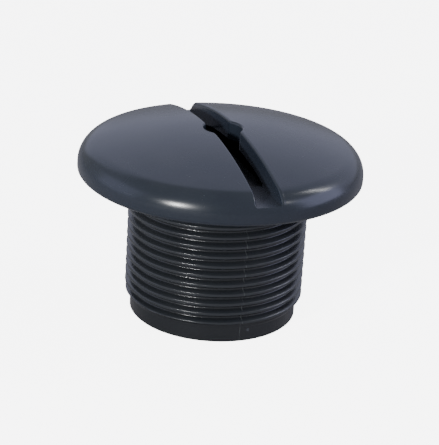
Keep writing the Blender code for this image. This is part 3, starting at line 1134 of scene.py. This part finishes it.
@dataclass
class ThreadedSleeve:
    """The barrel with its thread, pilot, flange, collar and pierced deck."""

    deck_top: float
    flange_radius: float
    thread: ThreadForm = field(default_factory=ThreadForm)
    bore_radius: float = 21.3 * MM
    bore_chamfer: float = 0.6 * MM
    pilot_radius: float = 23.4 * MM
    pilot_top: float = 4.3 * MM
    pilot_chamfer: float = 0.5 * MM
    flange_bottom: float = 39.0 * MM
    flange_top: float = 40.8 * MM
    collar_radius: float = 23.7 * MM
    groove: tuple[float, float, float] = (22.9 * MM, 41.9 * MM, 43.4 * MM)
    deck_thickness: float = 2.0 * MM
    deck_bar: float = 8.4 * MM
    opening_radius: float = 19.5 * MM
    opening_flare: float = 0.25 * MM
    opening_steps: int = 71
    corner_round: float = 0.35 * MM

    def outlines(self) -> tuple[list[Point2], list[Point2]]:
        """Return the outlines below the deck and above it, each from one end of the thread."""
        chamfer = self.pilot_chamfer
        groove_radius, groove_low, groove_high = self.groove
        deck_bottom = self.deck_top - self.deck_thickness
        root = self.thread.root_radius
        lower = [
            (root, self.thread.bottom), (self.pilot_radius, self.pilot_top), (self.pilot_radius, chamfer),
            (self.pilot_radius - chamfer, 0.0), (self.bore_radius + chamfer, 0.0),
            (self.bore_radius, self.bore_chamfer), (self.bore_radius, deck_bottom - 2.0 * chamfer),
            (self.bore_radius - 2.0 * chamfer, deck_bottom),
        ]
        upper = [
            (self.collar_radius - 2.0 * chamfer, self.deck_top),
            (self.collar_radius - chamfer, self.deck_top),
            (self.collar_radius, self.deck_top - chamfer), (self.collar_radius, groove_high),
            (groove_radius, groove_high), (groove_radius, groove_low), (self.collar_radius, groove_low),
            (self.collar_radius, self.flange_top), (self.flange_radius, self.flange_top),
            (self.flange_radius, self.flange_bottom + chamfer),
            (self.flange_radius - chamfer, self.flange_bottom), (root, self.flange_bottom),
            (root, self.thread.top),
        ]
        return rounded(lower, self.corner_round), rounded(upper, self.corner_round)

    def opening_cutter(self, name: str, side: float) -> bpy.types.Object:
        """Build the cutter for one of the deck's two openings, flared at both faces.

        Args:
            name: The cutter's name.
            side: Which side of the deck's bar, as -1 or 1.

        Returns:
            The cutter, straight along the bar and round elsewhere.
        """
        low = self.deck_top - self.deck_thickness
        flare = self.opening_flare
        levels = (
            (low - flare, 2.0 * flare), (low + flare, 0.0),
            (self.deck_top - flare, 0.0), (self.deck_top + flare, 2.0 * flare),
        )
        builder = bmesh.new()
        loops = []
        for height, grow in levels:
            radius = self.opening_radius + grow
            reach = math.degrees(math.acos((0.5 * self.deck_bar - grow) / radius))
            loop = arc((0.0, 0.0), (side * radius, radius), -reach, reach, self.opening_steps)
            loops.append([builder.verts.new((x, y, height)) for x, y in loop])
        for lower, upper in zip(loops, loops[1:]):
            bridge(builder, lower, upper)
        builder.faces.new(loops[0])
        builder.faces.new(loops[-1])
        return link(name, builder)

    def build(self, effects: SharedEffects) -> None:
        """Build and dress the sleeve."""
        blank = bpy.data.materials.new("thread_blank")
        builder = bmesh.new()
        lower, upper = self.outlines()
        builder.faces.new(turn_outline(builder, lower, self.thread.columns)[-1])
        builder.faces.new(turn_outline(builder, upper, self.thread.columns)[0])
        builder.from_mesh(self.thread.mesh(blank))
        sleeve = link("barrel_sleeve", builder)
        carve(sleeve, self.opening_cutter("left_opening_cutter", -1.0),
              self.opening_cutter("right_opening_cutter", 1.0))
        dress(sleeve, SLEEVE_FINISH, effects, Body.SLEEVE, "threaded_sleeve")
        bpy.data.materials.remove(blank)


# --------------------------------------------------------------------------------------
# The small rings
# --------------------------------------------------------------------------------------

def softened_section(inner: float, outer: float, bottom: float, top: float, edge: float) -> list[Point2]:
    """Return a rectangular ring section with its four corners cut off."""
    return [
        (inner + edge, bottom), (outer - edge, bottom), (outer, bottom + edge), (outer, top - edge),
        (outer - edge, top), (inner + edge, top), (inner, top - edge), (inner, bottom + edge),
    ]


@dataclass
class SmallRings:
    """The snap ring, the drag ring and the flange seal, sized from their CAD boxes."""

    segments: int = 192
    snap_inner: float = 23.2 * MM
    snap_gap: float = math.radians(30.0)
    seal_inner: float = 24.3 * MM
    edge: float = 0.12 * MM

    def snap_ring(self) -> bpy.types.Object:
        """Build the open spring ring with softened corners."""
        low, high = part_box("snap_ring")
        section = softened_section(self.snap_inner, high[0], low[2], high[2], self.edge)
        builder = bmesh.new()
        loops = []
        for index in range(self.segments + 1):
            angle = 0.25 * TURN + 0.5 * self.snap_gap + (TURN - self.snap_gap) * index / self.segments
            cosine, sine = math.cos(angle), math.sin(angle)
            loops.append([builder.verts.new((radius * cosine, radius * sine, height))
                          for radius, height in section])
        for first, second in zip(loops, loops[1:]):
            bridge(builder, first, second)
        builder.faces.new(loops[0])
        builder.faces.new(loops[-1])
        return link("retaining_snap_ring", builder)

    def drag_ring(self) -> bpy.types.Object:
        """Build the round rubber ring."""
        low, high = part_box("drag_ring")
        section = 0.5 * (high[2] - low[2])
        centre = (high[0] - section, low[2] + section)
        profile = arc(centre, (section, section), 0.0, 360.0, 24)[:-1]
        return link("rubber_drag_ring", lathe(profile, self.segments, closed=True))

    def flange_seal(self) -> bpy.types.Object:
        """Build the flat washer with softened corners."""
        low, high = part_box("flange_seal")
        profile = softened_section(self.seal_inner, high[0], low[2], high[2], self.edge)
        return link("rubber_flange_seal", lathe(profile, self.segments, closed=True))

    def build(self, effects: SharedEffects) -> None:
        """Build and dress the three rings."""
        dress(self.snap_ring(), STEEL_FINISH, effects, Body.SLEEVE, "snap_ring")
        dress(self.drag_ring(), RING_FINISH, effects, Body.CAP, "drag_ring")
        dress(self.flange_seal(), SEAL_FINISH, effects, Body.SLEEVE, "flange_seal")


# --------------------------------------------------------------------------------------
# The studio
# --------------------------------------------------------------------------------------

@dataclass(frozen=True)
class Softbox:
    """A rectangular light, placed along the camera's level right, away from it, and up."""

    name: str
    place: tuple[float, float, float]
    size: Point2
    power: float
    colour: Colour = (1.0, 1.0, 1.0)


COOL_WHITE: Colour = (0.63, 0.66, 1.0)
SOFTBOXES = (
    Softbox("back_panel", (0.3, 1.5, 1.15), (4.4, 2.2), 19.0, COOL_WHITE),
    Softbox("left_panel", (-1.6, -0.1, 0.5), (1.2, 1.0), 3.4, COOL_WHITE),
    Softbox("right_panel", (1.5, 0.0, 0.5), (1.2, 1.0), 10.0, COOL_WHITE),
    Softbox("front_softbox", (-0.50, -0.82, 0.355), (0.13, 0.075), 9.5),
    Softbox("right_strip", (0.74, 0.20, 0.68), (0.06, 0.35), 1.3),
    Softbox("small_lamp", (0.72, -0.42, 0.60), (0.05, 0.05), 0.35),
)


@dataclass
class Studio:
    """The camera, the floor and the soft lights."""

    centre: Vector
    azimuth: float = math.radians(-20.2)
    elevation: float = math.radians(22.22)
    roll: float = math.radians(-3.64)
    distance: float = 510.3 * MM
    lens: float = 149.6
    aim_right: float = 0.3 * MM
    aim_up: float = 15.93 * MM
    floor_size: float = 6.0
    floor_pale: Colour = (0.93, 0.93, 0.93)
    floor_bounce: Colour = (0.40, 0.39, 0.39)
    floor_glow: float = 6.0
    room_light: float = 0.34
    room_seen: float = 6.0
    clip_start: float = 10.0 * MM

    def axes(self) -> tuple[Vector, Vector, Vector]:
        """Return the camera's right, up and back directions."""
        level = math.cos(self.elevation)
        back = Vector((math.sin(self.azimuth) * level, -math.cos(self.azimuth) * level,
                       math.sin(self.elevation)))
        right = Vector((math.cos(self.azimuth), math.sin(self.azimuth), 0.0))
        up = back.cross(right)
        cosine, sine = math.cos(self.roll), math.sin(self.roll)
        return right * cosine - up * sine, right * sine + up * cosine, back

    def add_camera(self) -> None:
        """Place the camera on the view's axis."""
        right, up, back = self.axes()
        data = bpy.data.cameras.new("view_camera")
        data.lens = self.lens
        data.clip_start = self.clip_start
        camera = bpy.data.objects.new("view_camera", data)
        bpy.context.scene.collection.objects.link(camera)
        turned = Matrix((right, up, back)).transposed()
        place = self.centre - right * self.aim_right - up * self.aim_up + back * self.distance
        camera.matrix_world = Matrix.Translation(place) @ turned.to_4x4()
        bpy.context.scene.camera = camera

    def add_floor(self) -> None:
        """Lay the pale floor that the grommet stands on."""
        builder = bmesh.new()
        bmesh.ops.create_grid(builder, x_segments=1, y_segments=1, size=0.5 * self.floor_size)
        floor = link("studio_floor", builder)
        material = bpy.data.materials.new("studio_floor_paint")
        material.use_nodes = True
        wiring = Wiring(material.node_tree)
        shader = material.node_tree.nodes["Principled BSDF"]
        seen = wiring.add("ShaderNodeLightPath").outputs["Is Camera Ray"]
        paint = wiring.blend(seen, (*self.floor_bounce, 1.0), (*self.floor_pale, 1.0))
        wiring.feed(shader.inputs["Base Color"], paint)
        wiring.feed(shader.inputs["Emission Strength"], wiring.product(seen, self.floor_glow))
        shader.inputs["Emission Color"].default_value = (1.0, 1.0, 1.0, 1.0)
        shader.inputs["Roughness"].default_value = 0.9
        floor.data.materials.append(material)

    def add_light(self, box: Softbox) -> None:
        """Hang one softbox so that it faces the grommet."""
        data = bpy.data.lights.new(box.name, "AREA")
        data.shape = "RECTANGLE"
        data.size, data.size_y = box.size
        data.energy = box.power
        data.color = box.colour
        light = bpy.data.objects.new(box.name, data)
        bpy.context.scene.collection.objects.link(light)
        cosine, sine = math.cos(self.azimuth), math.sin(self.azimuth)
        sideways, away, height = box.place
        spot = Vector((sideways * cosine - away * sine, sideways * sine + away * cosine, height))
        light.location = spot
        light.rotation_euler = (spot - self.centre).to_track_quat("Z", "Y").to_euler()

    def add_room(self) -> None:
        """Put a dim room round the grommet, which the camera sees as a white backdrop."""
        world = bpy.data.worlds.new("studio_room")
        world.use_nodes = True
        wiring = Wiring(world.node_tree)
        background = world.node_tree.nodes["Background"]
        seen = wiring.add("ShaderNodeLightPath").outputs["Is Camera Ray"]
        background.inputs["Color"].default_value = (1.0, 1.0, 1.0, 1.0)
        strength = wiring.ramp(seen, 0.0, 1.0, self.room_light, self.room_seen, kind="LINEAR")
        wiring.feed(background.inputs["Strength"], strength)
        bpy.context.scene.world = world

    def build(self) -> None:
        """Set up the whole studio."""
        self.add_camera()
        self.add_floor()
        self.add_room()
        for box in SOFTBOXES:
            self.add_light(box)


def main() -> None:
    """Build every sub-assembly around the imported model."""
    logging.basicConfig(level=logging.INFO, format="%(name)s: %(message)s")
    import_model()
    cap_low, cap_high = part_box("slotted_cap")
    sleeve_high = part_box("threaded_sleeve")[1]
    effects = SharedEffects.build()
    DomedCap(radius=cap_high[0], underside=cap_low[2]).build(effects)
    ThreadedSleeve(deck_top=sleeve_high[2], flange_radius=sleeve_high[0]).build(effects)
    SmallRings().build(effects)
    widest = cap_low[2] + DomedCap.rim_band + DomedCap.undercut[1]
    Studio(centre=Vector((0.0, 0.0, widest))).build()


if __name__ == "__main__":
    main()
